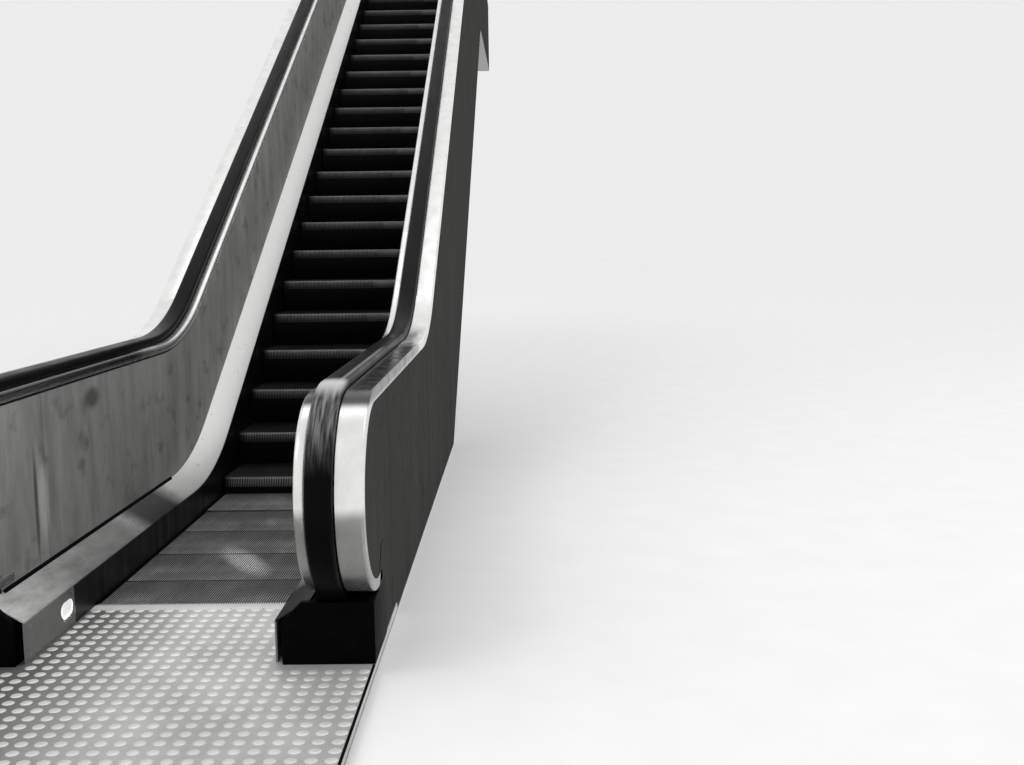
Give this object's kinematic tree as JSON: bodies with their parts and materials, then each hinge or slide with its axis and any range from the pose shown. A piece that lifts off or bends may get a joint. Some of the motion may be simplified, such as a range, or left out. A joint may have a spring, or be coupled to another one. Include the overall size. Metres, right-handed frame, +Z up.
{
  "type": "escalator",
  "caption": "Public escalator with metal-clad balustrades, black rubber handrails, dark cleated steps and studded landing plates, whole from lower to upper landing.",
  "frame": {"origin": "on the ground under the middle of the lower comb line, on the underside of the lower bottom plate", "axes": "+Y up the run towards the upper landing, +Z up, X across the steps"},
  "size_m": [1.46, 15.9898, 5.74],
  "materials": {
    "soffit_paint": "matt grey paint on sheet steel",
    "structural_steel": "primer-painted rolled steel",
    "floor_aluminium": "studded, worn bright on the studs",
    "comb_aluminium": "die cast, bright",
    "step_casting": "dark painted die casting, worn to grey on the cleats",
    "skirt_black": "black low-friction coating",
    "satin_steel": "satin",
    "light_lens": "frosted white lens",
    "bright_steel": "bright, fine brushed along its length",
    "brushed_panel": "brushed upright, streaky, worn",
    "handrail_rubber": "black, polished by hands",
    "boot_plastic": "black moulding"
  },
  "bodies": {
    "root": {"bottom_plate_lower": "soffit_paint", "soffit_incline": "soffit_paint", "soffit_upper": "soffit_paint", "truss_left": "structural_steel", "truss_right": "structural_steel", "cross_beams": "structural_steel", "step_tracks": "structural_steel", "end_plates": "structural_steel", "floor_frame_lower": "structural_steel", "floor_frame_upper": "structural_steel", "floor_plate_lower": "floor_aluminium", "floor_plate_upper": "floor_aluminium", "comb_plate_lower": "floor_aluminium", "comb_plate_upper": "floor_aluminium", "comb_lower": "comb_aluminium", "comb_upper": "comb_aluminium", "steps_lower_landing": "step_casting", "step_flight_1": "step_casting", "step_flight_2": "step_casting", "step_flight_3": "step_casting", "steps_upper_landing": "step_casting", "skirt_left": "skirt_black", "skirt_right": "skirt_black", "skirt_ends": "satin_steel", "skirt_lights": "light_lens", "inner_deck_left": "bright_steel", "inner_deck_right": "bright_steel", "panels_left": "brushed_panel", "panels_right": "brushed_panel", "frames_left": "structural_steel", "frames_right": "structural_steel", "guide_left": "structural_steel", "guide_right": "structural_steel", "trim_left": "bright_steel", "trim_right": "bright_steel", "handrail_left": "handrail_rubber", "handrail_right": "handrail_rubber", "outer_deck_left": "bright_steel", "outer_deck_right": "bright_steel", "cladding_left": "brushed_panel", "cladding_right": "brushed_panel", "boot_lower_left": "boot_plastic", "boot_lower_right": "boot_plastic", "boot_upper_left": "boot_plastic", "boot_upper_right": "boot_plastic"}
  },
  "joints": []
}
